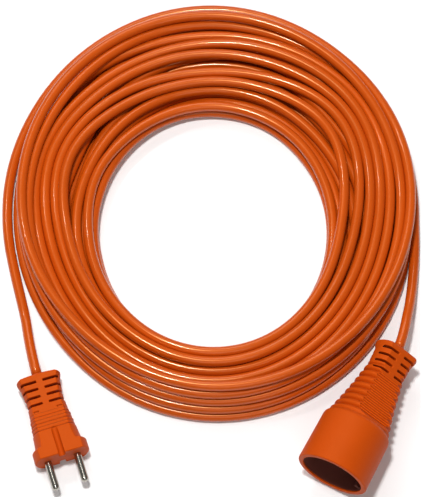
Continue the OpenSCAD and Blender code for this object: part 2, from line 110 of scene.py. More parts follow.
@dataclass
class Studio:
    """Camera, plain pale floor and soft lights.

    Attributes:
        aim: the point that the camera looks at.
        distance: from the camera to that point.
        elevation: the camera's height above the horizon, in degrees.
        lens: focal length in millimetres, and sensor the sensor's width.
        floor_side: length of the floor's side.
        floor_colour: its linear colour, and floor_roughness its roughness.
        sky: strength of the white light from all sides.
    """

    aim: tuple[float, float, float] = (-0.0005, 0.00275, 0.0)
    distance: float = 2.0
    elevation: float = 70.0
    lens: float = 224.0
    sensor: float = 36.0
    floor_side: float = 9.0
    floor_colour: tuple[float, float, float] = (0.90, 0.90, 0.895)
    floor_roughness: float = 0.7
    sky: float = 0.17

    def build(self) -> None:
        """Makes the camera, the floor, the lights and the sky."""
        self.camera()
        self.floor()
        for light in LIGHTS:
            light.hang()
        world = bpy.data.worlds.new("studio_sky")
        bpy.context.scene.world = world
        world.use_nodes = True
        sky = world.node_tree.nodes["Background"]
        sky.inputs["Color"].default_value = (1.0, 1.0, 1.0, 1.0)
        sky.inputs["Strength"].default_value = self.sky
        bpy.context.scene.view_settings.view_transform = "Standard"

    def camera(self) -> None:
        """Puts the camera at its angle and makes it the scene's camera."""
        lift = math.radians(self.elevation)
        data = bpy.data.cameras.new("camera")
        data.lens = self.lens
        data.sensor_width = self.sensor
        camera = bpy.data.objects.new("camera", data)
        back = Vector((0.0, -math.cos(lift), math.sin(lift)))
        camera.location = Vector(self.aim) + back * self.distance
        camera.rotation_euler = (math.pi / 2 - lift, 0.0, 0.0)
        bpy.context.scene.collection.objects.link(camera)
        bpy.context.scene.camera = camera

    def floor(self) -> None:
        """Lays a plain pale floor just under the object."""
        half = self.floor_side / 2
        mesh = bpy.data.meshes.new("floor")
        corners = [(-half, -half, 0), (half, -half, 0), (half, half, 0), (-half, half, 0)]
        mesh.from_pydata(corners, [], [(0, 1, 2, 3)])
        floor = bpy.data.objects.new("floor", mesh)
        bpy.context.scene.collection.objects.link(floor)
        paint = bpy.data.materials.new("pale_floor")
        paint.use_nodes = True
        shader = paint.node_tree.nodes["Principled BSDF"]
        shader.inputs["Base Color"].default_value = (*self.floor_colour, 1.0)
        shader.inputs["Roughness"].default_value = self.floor_roughness
        mesh.materials.append(paint)


# ---------------------------------------------------------------- finishes


class Pattern(Enum):
    """How the fine marks of a finish run."""

    DRAWN = "lines along the piece, from its own lengthwise coordinates"
    GRAINED = "even grain in all directions"
    RINGED = "rings across the piece's axis"


class Nodes:
    """Small helper that adds nodes to one node tree."""

    def __init__(self, tree: bpy.types.NodeTree) -> None:
        """Keeps the tree that it adds to."""
        self.tree = tree

    def add(self, kind: str, values: dict | None = None, **settings: object) -> bpy.types.Node:
        """Adds one node.

        Args:
            kind: the node's type name.
            values: socket name or index to a plain value, or to a socket to link from.
            settings: the node's own settings.

        Returns:
            The new node.
        """
        node = self.tree.nodes.new(kind)
        for name, value in settings.items():
            setattr(node, name, value)
        for name, value in (values or {}).items():
            if isinstance(value, bpy.types.NodeSocket):
                self.tree.links.new(value, node.inputs[name])
            else:
                node.inputs[name].default_value = value
        return node

    def arithmetic(self, operation: str, *values: object) -> bpy.types.NodeSocket:
        """Adds one Math node with its values in order, and gives its result."""
        return self.add("ShaderNodeMath", dict(enumerate(values)), operation=operation).outputs[0]


def shared_group(name: str, inputs: dict[str, str], outputs: dict[str, str]) -> tuple:
    """Starts a shader node group with named sockets.

    Args:
        name: the group's name.
        inputs: input name to socket type.
        outputs: output name to socket type.

    Returns:
        The group, its helper, its input node and its output node.
    """
    group = bpy.data.node_groups.new(name, "ShaderNodeTree")
    for socket, kind in inputs.items():
        group.interface.new_socket(socket, in_out="INPUT", socket_type=kind)
    for socket, kind in outputs.items():
        group.interface.new_socket(socket, in_out="OUTPUT", socket_type=kind)
    nodes = Nodes(group)
    return group, nodes, nodes.add("NodeGroupInput"), nodes.add("NodeGroupOutput")


FLOAT, COLOUR, VECTOR = "NodeSocketFloat", "NodeSocketColor", "NodeSocketVector"
# Vertex attribute: scuffing on convex edges, and painted shade in concave corners.
EDGE_WEAR_AND_SHADE = "edge_wear_and_corner_shade"
COAT_ROUGHNESS = 0.08
# The value of a mask that leaves a colour as it is, and the marks' range that spans the gloss.
MASK_MIDDLE = 0.5
MARKS_RANGE = (0.3, 0.7)
DULLING = 0.5
# How much the marks are stretched along a drawn piece, and round a turned one.
DRAWN_STRETCH = (6.0, 1.0, 1.0)
RING_STRETCH = (1.0, 0.02, 0.02)


def make_marks_group() -> bpy.types.NodeTree:
    """Fine marks over slow clouds, as two masks from 0 to 1.

    Returns:
        The group with inputs Vector, Fine and Slow, and outputs Marks and Clouds.
    """
    group, nodes, start, end = shared_group(
        "surface_marks",
        {"Vector": VECTOR, "Fine": FLOAT, "Slow": FLOAT},
        {"Marks": FLOAT, "Clouds": FLOAT},
    )
    for source, scale, detail in (("Marks", "Fine", 3.0), ("Clouds", "Slow", 2.0)):
        noise = nodes.add(
            "ShaderNodeTexNoise",
            {"Vector": start.outputs["Vector"], "Scale": start.outputs[scale], "Detail": detail},
        )
        group.links.new(noise.outputs["Fac"], end.inputs[source])
    return group


def make_tone_group() -> bpy.types.NodeTree:
    """Lightens and darkens a colour by a mask.

    Returns:
        The group with inputs Colour, Mask and Amount, and output Colour.
    """
    group, nodes, start, end = shared_group(
        "tone_shift", {"Colour": COLOUR, "Mask": FLOAT, "Amount": FLOAT}, {"Colour": COLOUR}
    )
    centred = nodes.arithmetic("SUBTRACT", start.outputs["Mask"], MASK_MIDDLE)
    share = nodes.arithmetic("MULTIPLY", centred, start.outputs["Amount"])
    factor = nodes.arithmetic("ADD", share, 1.0)
    scaled = nodes.add(
        "ShaderNodeVectorMath", {0: start.outputs["Colour"], "Scale": factor}, operation="SCALE"
    )
    group.links.new(scaled.outputs[0], end.inputs["Colour"])
    return group


@dataclass(frozen=True)
class Finish:
    """One finish and its procedural material.

    Attributes:
        name: the material's name.
        slot: the record's material slot; not used.
        colour: linear base colour.
        roughness: lowest and highest roughness.
        pattern: how the marks run.
        fine: scale of the fine marks.
        slow: scale of the slow clouds.
        tone: how strongly the clouds shift the colour.
        relief: depth of the marks.
        metal: 1 for a metal, else 0.
        coat: weight of the clear gloss on top.
        gleam: how strongly the surface under the gloss reflects, and gleam_tint in which colour.
        wear_and_shade: how much lighter and duller its scuffed edges are, and how much darker its
            concave corners are painted as shade.
        axis_turn: turn of the piece's axis about Z in degrees, for rings.
    """

    name: str
    slot: str
    colour: tuple[float, float, float]
    roughness: tuple[float, float]
    pattern: Pattern = Pattern.GRAINED
    fine: float = 2500.0
    slow: float = 60.0
    tone: float = 0.16
    relief: float = 0.00002
    metal: float = 0.0
    coat: float = 0.0
    gleam: float = 0.5
    gleam_tint: tuple[float, float, float] = (1.0, 1.0, 1.0)
    wear_and_shade: float = 0.0
    axis_turn: float = 0.0

    def coordinates(self, nodes: Nodes) -> bpy.types.NodeSocket:
        """The texture space in which this finish's marks run.

        Args:
            nodes: helper of the material's tree.

        Returns:
            The vector socket for the marks.
        """
        if self.pattern is Pattern.DRAWN:
            source, stretch = nodes.add("ShaderNodeUVMap", uv_map="along"), DRAWN_STRETCH
        else:
            place = nodes.add("ShaderNodeTexCoord").outputs["Object"]
            if self.pattern is Pattern.GRAINED:
                return place
            level = (0.0, 0.0, math.radians(-self.axis_turn))
            source = nodes.add("ShaderNodeMapping", {"Vector": place, "Rotation": level})
            stretch = RING_STRETCH
        return nodes.add(
            "ShaderNodeVectorMath", {0: source.outputs[0], 1: stretch}, operation="MULTIPLY"
        ).outputs[0]

    def build(self, marks: bpy.types.NodeTree, tone: bpy.types.NodeTree) -> bpy.types.Material:
        """Makes the material.

        Args:
            marks: the shared group of fine marks and slow clouds.
            tone: the shared group that shifts a colour.

        Returns:
            The finished material.
        """
        material = bpy.data.materials.new(self.name)
        material.use_nodes = True
        tree = material.node_tree
        shader = tree.nodes["Principled BSDF"]
        nodes = Nodes(tree)
        shader.inputs["Metallic"].default_value = self.metal
        shader.inputs["Coat Weight"].default_value = self.coat
        shader.inputs["Coat Roughness"].default_value = COAT_ROUGHNESS
        shader.inputs["Specular IOR Level"].default_value = self.gleam
        shader.inputs["Specular Tint"].default_value = (*self.gleam_tint, 1.0)
        surface = nodes.add("ShaderNodeGroup", node_tree=marks)
        surface.inputs["Fine"].default_value = self.fine
        surface.inputs["Slow"].default_value = self.slow
        tree.links.new(self.coordinates(nodes), surface.inputs["Vector"])
        shade = nodes.add("ShaderNodeGroup", node_tree=tone)
        shade.inputs["Colour"].default_value = (*self.colour, 1.0)
        shade.inputs["Amount"].default_value = self.tone
        tree.links.new(surface.outputs["Clouds"], shade.inputs["Mask"])
        # Scuffed convex edges come out lighter and duller; concave corners come out darker, which
        # is painted shade.
        edges = nodes.add("ShaderNodeAttribute", attribute_name=EDGE_WEAR_AND_SHADE).outputs["Fac"]
        bend_mark = nodes.arithmetic("MULTIPLY", edges, surface.outputs["Marks"])
        raised = nodes.arithmetic("ADD", bend_mark, MASK_MIDDLE)
        worn_and_shaded = nodes.add("ShaderNodeGroup", node_tree=tone)
        worn_and_shaded.inputs["Amount"].default_value = self.wear_and_shade
        tree.links.new(shade.outputs["Colour"], worn_and_shaded.inputs["Colour"])
        tree.links.new(raised, worn_and_shaded.inputs["Mask"])
        tree.links.new(worn_and_shaded.outputs["Colour"], shader.inputs["Base Color"])
        gloss = nodes.add(
            "ShaderNodeMapRange",
            {
                "Value": surface.outputs["Marks"],
                "From Min": MARKS_RANGE[0],
                "From Max": MARKS_RANGE[1],
                "To Min": self.roughness[0],
                "To Max": self.roughness[1],
            },
        )
        duller = DULLING * self.wear_and_shade
        dulled = nodes.arithmetic("MULTIPLY_ADD", bend_mark, duller, gloss.outputs["Result"])
        tree.links.new(dulled, shader.inputs["Roughness"])
        bump = nodes.add(
            "ShaderNodeBump",
            {"Height": surface.outputs["Marks"], "Distance": self.relief, "Strength": 1.0},
        )
        tree.links.new(bump.outputs["Normal"], shader.inputs["Normal"])
        return material


PLUG_TURN = -72.6
COUPLER_TURN = -117.2

WARM = (1.0, 0.60, 0.24)
SHEATH = Finish("sheath_orange", "cord_orange", (0.510, 0.069, 0.0030), (0.19, 0.30),
                Pattern.DRAWN, fine=9.0, slow=1.6, tone=0.34, relief=0.00006, coat=0.22,
                gleam=0.5, gleam_tint=WARM)
SHEATH_END = Finish("sheath_end_orange", "cord_orange", (0.510, 0.069, 0.0030), (0.24, 0.34),
                    fine=1800.0, slow=90.0, tone=0.20, relief=0.00002, coat=0.22,
                    gleam=0.5, gleam_tint=WARM)
# The mouldings' convex edges are lightened as scuffing, and their concave corners are darkened as
# painted shade.
MOULDED = Finish("moulded_orange", "moulded_orange", (0.500, 0.060, 0.0022), (0.50, 0.62),
                 fine=1600.0, slow=45.0, tone=0.14, relief=0.00003, gleam=0.2, gleam_tint=WARM,
                 wear_and_shade=0.8)
LINING = Finish("lining_dark", "insert_dark", (0.150, 0.045, 0.034), (0.30, 0.42),
                fine=1900.0, slow=70.0, tone=0.25, relief=0.00002, gleam=0.25, gleam_tint=WARM)
PALE = Finish("carrier_pale", "carrier_pale", (0.62, 0.60, 0.54), (0.42, 0.55),
              fine=1500.0, slow=80.0, tone=0.10, relief=0.00003)
NICKEL = Finish("pin_nickel", "pin_nickel", (0.44, 0.41, 0.355), (0.12, 0.19),
                Pattern.RINGED, fine=5200.0, slow=320.0, tone=0.12, relief=0.000004,
                metal=1.0, axis_turn=PLUG_TURN)
BRASS = Finish("contact_brass", "contact_brass", (0.72, 0.50, 0.22), (0.22, 0.36),
               fine=2600.0, slow=300.0, tone=0.22, relief=0.000015, metal=1.0)
CRIMP = Finish("crimp_nickel", "contact_brass", (0.70, 0.60, 0.40), (0.24, 0.36),
               Pattern.RINGED, fine=2600.0, slow=300.0, tone=0.18, relief=0.000015,
               metal=1.0, axis_turn=PLUG_TURN)
SPRING = Finish("spring_steel", "spring_steel", (0.46, 0.46, 0.46), (0.20, 0.32),
                Pattern.RINGED, fine=3600.0, slow=260.0, tone=0.15, relief=0.000012,
                metal=1.0, axis_turn=COUPLER_TURN)
COPPER = Finish("strands_copper", "strands_copper", (0.78, 0.36, 0.20), (0.22, 0.38),
                fine=3200.0, slow=400.0, tone=0.35, relief=0.00008, metal=1.0)
CORE_BROWN = Finish("core_brown", "core_brown", (0.100, 0.035, 0.015), (0.24, 0.34),
                    fine=1800.0, slow=150.0, tone=0.15, relief=0.00002, coat=0.2)
CORE_BLUE = Finish("core_blue", "core_blue", (0.020, 0.100, 0.420), (0.24, 0.34),
                   fine=1800.0, slow=150.0, tone=0.15, relief=0.00002, coat=0.2)


class Palette:
    """Builds each finish once and puts it on pieces."""

    def __init__(self) -> None:
        """Makes the shared node groups."""
        self.marks = make_marks_group()
        self.tone = make_tone_group()
        self.made: dict[str, bpy.types.Material] = {}

    def coat(self, piece: bpy.types.Object, finish: Finish) -> None:
        """Gives a piece its finish.

        Args:
            piece: a mesh object.
            finish: what it is finished in.
        """
        if finish.name not in self.made:
            self.made[finish.name] = finish.build(self.marks, self.tone)
        piece.data.materials.clear()
        piece.data.materials.append(self.made[finish.name])


# ---------------------------------------------------------------- cord


@dataclass
class CoilLay:
    """How the coil's loops lie, in millimetres and degrees.

    The loops are wound from the coupler's end on the outside of the floor layer, closely
    inwards, and then in wider steps outwards over the others. Each loop is a distance from
    the middle and a height at even steps of angle, and settles under weight, stiffness and
    the other loops.

    Attributes:
        thick: the cord's diameter.
        middle: the coil's middle.
        first_angle: direction of the coupler's end.
        loops: turns from that end to the plug's end.
        over_loops: turns laid last, over the others.
        layers: how many loops lie over one another on average.
        inner: mean radius of the innermost loop, and oval how far it is out of round.
        pitch: mean width of the band for each loop of one layer, lean how much wider it is
            towards lean_angle, and pitch_oval how far the width is out of round.
        bulge: how far the outer loops stand out in the direction bulge_angle, and
            bulge_reach the angle over which that fades.
        leave: degrees before the plug's end at which the last loop leaves the band, sink
            those at which it comes down to the floor, and move the degrees that each takes.
        aside: how far outside the band it lies then, and aside_late how much of that comes
            late: from the first of join degrees before the end, over the second.
        edge_angles: directions round the coil, and edge_shares the share of the band's
            width at each at which the loops laid last begin.
        edge_blur: the angle over which those shares are smoothed.
        hold_out: turns before the lower loops run inwards, and in_early how much shorter
            than the lower turns their way in is.
        spared: share of the room under the upper loops that the lower ones leave free.
        settle_in: turn at which the first loop begins to leave the outer edge.
        crossing: turns in which the cord goes over from the lower to the upper loops.
        sways: size, rate and start of each wave by which loops stray from their lanes.
        sway_side: their size away from the far side, sway_calm how much less it is in the
            direction calm_angle, and calm_reach the angle over which that fades.
    """

    thick: float = 6.6
    middle: tuple[float, float] = (1.2, 12.15)
    first_angle: float = 5.0
    loops: float = 22 + 195 / 360
    over_loops: float = 8.0
    layers: int = 4
    inner: float = 79.8
    oval: float = 3.7
    pitch: float = 9.27
    lean: float = 2.48
    lean_angle: float = 78.5
    pitch_oval: float = 0.3
    bulge: float = 2.4
    bulge_angle: float = 172.0
    bulge_reach: float = 42.0
    leave: float = 150.0
    sink: float = 125.0
    move: float = 60.0
    aside: float = 8.8
    aside_late: float = 4.3
    join: tuple[float, float] = (100.0, 70.0)
    edge_angles: tuple[float, ...] = (-60, -30, 0, 42, 70, 100, 130, 153, 180, 215, 240)
    edge_shares: tuple[float, ...] = (0, 0.02, 0.12, 0.46, 0.26, 0.20, 0.30, 0.48, 0.25, 0.08, 0)
    edge_blur: float = 14.0
    hold_out: float = 0.5
    in_early: float = 0.7
    spared: float = 0.65
    settle_in: float = 0.2
    crossing: float = 1.6
    sways: tuple = ((0.026, 2.32, 1.0), (0.018, 3.83, 2.0), (0.030, 8.2, 0.7))
    sway_side: float = 1.3
    sway_calm: float = 1.15
    calm_angle: float = 92.0
    calm_reach: float = 36.0

    def inside(self, angle: np.ndarray) -> np.ndarray:
        """Radius of the innermost loop in a direction."""
        return self.inner - self.oval * np.cos(2 * np.radians(angle))

    def width(self, angle: np.ndarray) -> np.ndarray:
        """Width of the band of loops, between the outermost and the innermost centre.

        Args:
            angle: direction from the middle.

        Returns:
            The width in that direction.
        """
        step = (
            self.pitch
            + self.lean * np.cos(np.radians(angle - self.lean_angle))
            - self.pitch_oval * np.cos(2 * np.radians(angle))
        )
        return step * self.loops / self.layers

    def edge(self, angle: np.ndarray) -> np.ndarray:
        """Where in the band the loops laid last begin, smoothed round the coil.

        Args:
            angle: direction from the middle.

        Returns:
            Share of the band in that direction, 0 at the inside.
        """
        step, reach = 2.0, 20
        first = self.edge_angles[0]
        grid = np.arange(first, first + 360.0, step)
        shares = np.interp(grid, self.edge_angles, self.edge_shares)
        bell = np.exp(-((np.arange(-reach, reach + 1) * step / self.edge_blur) ** 2))
        ringed = np.concatenate([shares[-reach:], shares, shares[:reach]])
        smooth = np.convolve(ringed, bell / bell.sum(), "valid")
        where = (angle - first) % 360.0
        return np.interp(where, np.append(grid - first, 360.0), np.append(smooth, smooth[0]))

    def lanes(self, turn: np.ndarray, angle: np.ndarray) -> np.ndarray:
        """Where in the band each stretch is laid.

        Args:
            turn: turns from the coupler's end.
            angle: direction from the middle.

        Returns:
            Shares of the band, 0 at the inside and 1 at the outside.
        """
        under = self.loops - self.over_loops
        edge = self.edge(angle)
        inwards = 1.0 - np.clip((turn - self.hold_out) / (under - self.in_early), 0, 1)
        lower = inwards * (1.0 - self.spared * edge)
        lower = lower + (1.0 - lower) * (1.0 - ease(turn - self.settle_in))
        outwards = np.clip((turn - under) / (self.over_loops - 1.0), 0, 1)
        upper = edge + (1.0 - edge) * outwards
        change = ease((turn - under + self.crossing / 2) / self.crossing)
        share = lower * (1.0 - change) + upper * change
        sway = sum(size * np.sin(rate * turn + start) for size, rate, start in self.sways)
        calm = np.exp(-((turned(angle - self.calm_angle) / self.calm_reach) ** 2))
        sway = sway * (self.sway_side - self.sway_calm * calm)
        return np.clip(share + sway, 0, 1)


@dataclass(frozen=True)
class Stage:
    """One stage in which the coil settles.

    Attributes:
        steps: samples in one turn.
        rounds: number of small steps.
        stiffness: the reach of each stiffness step in a round.
        weight: how far a loop sinks in the first step, in millimetres.
        pull: share of the way back to its lane in the first step.
    """

    steps: int
    rounds: int
    stiffness: tuple[int, ...]
    weight: float
    pull: float


STAGES = (Stage(48, 1500, (3, 2, 1, 1), 0.12, 0.02), Stage(144, 80, (3, 1), 0.01, 0.0))


class Settling:
    """Loops of the coil on an even grid of angles, settling together.

    Attributes:
        FAR: stands for a loop that isn't there.
        PILE: height at which the last loop starts to sink.
        ROOM: how far outside the band the last loop may be pushed.
        FIRST: turns at which the first loop may leave the outer edge, and turns that it takes.
        END_HELD: degrees from the plug's end at which the cord begins to be held, and degrees
            until it is held fast.
        START_HELD: turns until which the cord is held at the coupler's end, and turns in
            which it comes free.
        CROWDED: how much less each push counts for every loop that pushes.
        FIRM: share of a push that a held stretch doesn't take.
        OUTER_SLOPE: how far in from the outer edge a raised loop has to lie, for each
            millimetre of height, and how much more at the side of the two leads.
        INNER_SLOPE: how far out from the inner edge it has to lie.
        LIGHTER: how much less a loop sinks in the last step than in the first.
        LEAST_PULL: share of the way back to its lane that stays in every step.
        PARTINGS: how often loops are pushed apart in a round.
    """

    FAR = 1e6
    PILE = 60.0
    ROOM = 9.0
    FIRST = (0.15, 0.4)
    END_HELD = (60.0, 20.0)
    START_HELD = (0.10, 0.04)
    CROWDED = 0.6
    FIRM = 0.9
    OUTER_SLOPE = (0.10, 0.45)
    INNER_SLOPE = 0.16
    LIGHTER = 0.7
    LEAST_PULL = 0.001
    PARTINGS = 3

    def __init__(self, lay: CoilLay, steps: int) -> None:
        """Lays the loops before they settle.

        Args:
            lay: the coil's lay.
            steps: samples in one turn.
        """
        self.lay = lay
        self.steps = steps
        self.count = int(round(lay.loops * steps)) + 1
        turn = np.arange(self.count) / steps
        self.angle = lay.first_angle + 360.0 * turn
        half = lay.thick / 2
        away = turned(self.angle - lay.bulge_angle) / lay.bulge_reach
        bulge = lay.bulge * np.exp(-(away**2))
        self.low = lay.inside(self.angle)
        self.high = self.low + lay.width(self.angle) + bulge
        laid = self.low + lay.lanes(turn, self.angle) * (self.high - self.low)
        first = 1.0 - ease((turn - self.FIRST[0]) / self.FIRST[1])
        laid = laid * (1.0 - first) + self.high * first
        ahead = (lay.loops - turn) * 360.0
        out = ease((lay.leave - ahead) / lay.move)
        down = ease((lay.sink - ahead) / lay.move)
        late = 1.0 - ease((lay.join[0] - ahead) / lay.join[1])
        aside = lay.aside - lay.aside_late * late
        self.laid = laid * (1.0 - out) + (self.high - bulge + aside) * out
        self.last = ahead < lay.leave
        self.high = np.where(self.last, self.high + out * self.ROOM, self.high)
        held_end = np.clip((self.END_HELD[0] - ahead) / self.END_HELD[1], 0, 1)
        held_start = np.clip((self.START_HELD[0] - turn) / self.START_HELD[1], 0, 1)
        self.held = np.maximum(held_end, held_start)
        self.radius = self.laid.copy()
        self.height = (half + turn / lay.loops * self.PILE) * (1.0 - down) + half * down
        self.rows = -(-self.count // steps)
        self.spare = self.rows * steps - self.count

    def spread(self, values: np.ndarray) -> np.ndarray:
        """One row for each loop, one column for each direction."""
        padded = np.concatenate([values, np.full(self.spare, self.FAR)])
        return padded.reshape(self.rows, self.steps)

    def flat(self, table: np.ndarray) -> np.ndarray:
        """The loops one after the other again."""
        return table.reshape(-1)[: self.count]

    @staticmethod
    def stiffened(values: np.ndarray, reach: int) -> np.ndarray:
        """One step of bending stiffness, which takes short waves out.

        Args:
            values: one value for each sample along the cord.
            reach: samples from a point to the two that bend it.

        Returns:
            The values with less bending in them.
        """
        inner = slice(reach, -reach)
        bend = np.zeros_like(values)
        bend[inner] = (values[: -2 * reach] + values[2 * reach :]) / 2 - values[inner]
        change = np.zeros_like(values)
        change[inner] = (bend[: -2 * reach] + bend[2 * reach :]) / 2 - bend[inner]
        return values - 0.5 * change

    def part(self) -> None:
        """Pushes loops apart that lie in one another, and keeps them in their room."""
        thick, half = self.lay.thick, self.lay.thick / 2
        across, up = self.spread(self.radius), self.spread(self.height)
        gap_r = across[:, None] - across[None]
        gap_z = up[:, None] - up[None]
        apart = np.sqrt(gap_r * gap_r + gap_z * gap_z)
        apart[np.arange(self.rows), np.arange(self.rows)] = self.FAR
        push = np.where(apart < thick, (thick - apart) / np.maximum(apart, 1e-9), 0.0) * 0.5
        share = 1.0 / np.maximum(1.0, (push > 0).sum(1) * self.CROWDED)
        free = 1.0 - self.FIRM * self.held
        self.radius = self.radius + self.flat((gap_r * push).sum(1) * share) * free
        self.height = self.height + self.flat((gap_z * push).sum(1) * share) * free
        self.height = np.maximum(self.height, half)
        raised = self.height - half
        near = np.clip(-np.sin(np.radians(self.angle)), 0, 1)
        slope = self.OUTER_SLOPE[0] + self.OUTER_SLOPE[1] * near
        outer = self.high - slope * raised * ~self.last
        self.radius = np.clip(self.radius, self.low + self.INNER_SLOPE * raised, outer)

    def settle(self, stage: Stage) -> None:
        """Lets the loops come to rest.

        Args:
            stage: how many steps it takes, and what acts in them.
        """
        half = self.lay.thick / 2
        for i in range(stage.rounds):
            fade = i / stage.rounds
            sunk = stage.weight * (1 - self.LIGHTER * fade)
            self.height = self.height - np.where(self.held > 0.5, 0.0, sunk)
            back = stage.pull * (1 - fade) + self.LEAST_PULL
            self.radius = self.radius + (self.laid - self.radius) * back
            for reach in stage.stiffness:
                self.radius = self.laid + self.stiffened(self.radius - self.laid, reach)
                self.height = self.stiffened(self.height, reach)
            for _ in range(self.PARTINGS):
                self.part()
            self.radius = self.radius * (1 - self.held) + self.laid * self.held
            self.height = self.height * (1 - self.held) + half * self.held

    def finer(self, steps: int) -> "Settling":
        """The same loops with more samples in a turn.

        Args:
            steps: samples in one turn.

        Returns:
            The finer loops.
        """
        fine = Settling(self.lay, steps)
        where = np.arange(fine.count) * self.steps / steps
        fine.radius = smooth_values(self.radius, where)
        fine.height = smooth_values(self.height, where)
        return fine

    def points(self) -> np.ndarray:
        """The cord's centreline through the coil.

        Returns:
            Its points in millimetres.
        """
        a = np.radians(self.angle)
        x = self.lay.middle[0] + self.radius * np.cos(a)
        y = self.lay.middle[1] + self.radius * np.sin(a)
        return np.stack([x, y, self.height], 1)


def smooth_values(values: np.ndarray, where: np.ndarray) -> np.ndarray:
    """Reads evenly spaced values in between, on a smooth curve through them.

    Args:
        values: one value for each whole number.
        where: the places to read.

    Returns:
        The values there.
    """
    k = np.clip(np.floor(where).astype(int), 0, len(values) - 2)
    u = where - k
    a, b, c, d = (values[np.clip(k + i, 0, len(values) - 1)] for i in (-1, 0, 1, 2))
    slope = (c - a) * u
    return b + 0.5 * (slope + (2 * a - 5 * b + 4 * c - d) * u**2 + (3 * (b - c) + d - a) * u**3)


@dataclass
class Cord:
    """The whole cord: coupler's lead, coil and plug's lead, in millimetres.

    Attributes:
        lay: how its loops lie.
        coupler_entry: where it leaves the coupler, and coupler_axis the direction from
            there to the coupler's mouth.
        coupler_route: the points that it passes between the coil and the coupler.
        plug_entry: where it enters the plug, and plug_axis the direction to the plug's face.
        plug_route: the points that it passes between the coil and the plug.
        left_out: samples at the coil's end that the way to the plug replaces.
        sides: corners of each ring of the round tube.
        ring_step: distance between two rings of a lead.
        hop_points: samples between two points of a lead, and lead_rounds how often they are
            smoothed.
    """

    lay: CoilLay
    coupler_entry: Vector
    coupler_axis: Vector
    plug_entry: Vector
    plug_axis: Vector
    coupler_route: tuple = ((131.3, 3.1, 3.3), (130.3, -12.7, 4.0), (128.6, -27.6, 6.6),
                            (126.6, -39.9, 10.2), (124.6, -48.9, 13.8), (122.7, -57.8, 16.9))
    plug_route: tuple = ((-119.1, -45.2, 3.4), (-117.3, -56, 5.4), (-115.1, -67.6, 8.2))
    left_out: int = 6
    sides: int = 18
    ring_step: float = 4.0
    hop_points: int = 24
    lead_rounds: int = 60

    def settled(self) -> np.ndarray:
        """Winds the coil and lets it settle.

        Returns:
            Its centreline from the coupler's end to the plug's end.
        """
        first, second = STAGES
        coil = Settling(self.lay, first.steps)
        coil.settle(first)
        coil = coil.finer(second.steps)
        coil.settle(second)
        return coil.points()

    def lead(self, points: list, ends: tuple[Vector, Vector]) -> np.ndarray:
        """A smooth free stretch through a few points.

        Args:
            points: the points, first to last.
            ends: directions at the first and the last.

        Returns:
            Points about one ring step apart.
        """
        p = np.array([tuple(q) for q in points], float)
        hop = np.linalg.norm(np.diff(p, axis=0), axis=1)
        slope = np.zeros_like(p)
        slope[1:-1] = (p[2:] - p[:-2]) / (hop[1:] + hop[:-1])[:, None]
        slope[0], slope[-1] = ends
        made = []
        u = np.linspace(0, 1, self.hop_points, endpoint=False)[:, None]
        for i, length in enumerate(hop):
            made.append(
                (1 + 2 * u) * (1 - u) ** 2 * p[i]
                + u * (1 - u) ** 2 * slope[i] * length
                + u * u * (3 - 2 * u) * p[i + 1]
                + u * u * (u - 1) * slope[i + 1] * length
            )
        line = np.concatenate(made + [p[-1:]])
        for _ in range(self.lead_rounds):
            line[1:-1] = line[1:-1] * 0.5 + (line[:-2] + line[2:]) * 0.25
        return resampled(line, self.ring_step)

    def centreline(self) -> np.ndarray:
        """Joins the coil and its two leads.

        Returns:
            The ring centres from the coupler's entry to the plug's entry.
        """
        coil = self.settled()[: -self.left_out]
        into = Vector(coil[1] - coil[0]).normalized()
        out = Vector(coil[-1] - coil[-2]).normalized()
        start = [self.coupler_entry, *reversed(self.coupler_route), coil[0]]
        end = [coil[-1], *self.plug_route, self.plug_entry]
        first = self.lead(start, (-self.coupler_axis, into))
        last = self.lead(end, (out, self.plug_axis))
        line = np.concatenate([first[:-1], coil, last[1:]])
        line[:, 2] = np.maximum(line[:, 2], self.lay.thick / 2)
        return line

    def build(self) -> tuple[bpy.types.Object, np.ndarray]:
        """Makes the round tube along the centreline.

        Returns:
            The cord and its ring centres in metres.
        """
        line = self.centreline() * MM
        tangent = np.gradient(line, axis=0)
        tangent /= np.linalg.norm(tangent, axis=1)[:, None]
        side = np.cross(tangent, (0.0, 0.0, 1.0))
        side /= np.linalg.norm(side, axis=1)[:, None]
        up = np.cross(side, tangent)
        n, m = len(line), self.sides
        round_it = 2 * math.pi * np.arange(m) / m
        radius = self.lay.thick / 2 * MM
        rings = line[:, None] + radius * (
            np.cos(round_it)[None, :, None] * up[:, None]
            + np.sin(round_it)[None, :, None] * side[:, None]
        )
        i, k = np.meshgrid(np.arange(n - 1), np.arange(m), indexing="ij")
        right = (k + 1) % m
        quads = np.stack([i * m + k, (i + 1) * m + k, (i + 1) * m + right, i * m + right], -1)
        mesh = bpy.data.meshes.new("cord")
        faces = [tuple(q) for q in quads.reshape(-1, 4).tolist()]
        faces += [tuple(range(m)), tuple(reversed(range((n - 1) * m, n * m)))]
        mesh.from_pydata(rings.reshape(-1, 3).tolist(), [], faces)
        run = np.concatenate([[0], np.cumsum(np.linalg.norm(np.diff(line, axis=0), axis=1))])
        along = np.stack([run[i], run[i + 1], run[i + 1], run[i]], -1)
        around = np.stack([k, k, k + 1, k + 1], -1) / m
        uv = np.zeros((len(mesh.loops), 2), np.float32)
        corners = np.stack([along, around], -1).reshape(-1, 2)
        uv[: len(corners)] = corners
        mesh.uv_layers.new(name="along").data.foreach_set("uv", uv.ravel())
        mesh.polygons.foreach_set("use_smooth", np.ones(len(mesh.polygons), bool))
        cord = bpy.data.objects.new("cord", mesh)
        bpy.context.scene.collection.objects.link(cord)
        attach(cord, "root")
        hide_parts("coil", "coupler_lead", "plug_lead")
        return cord, line


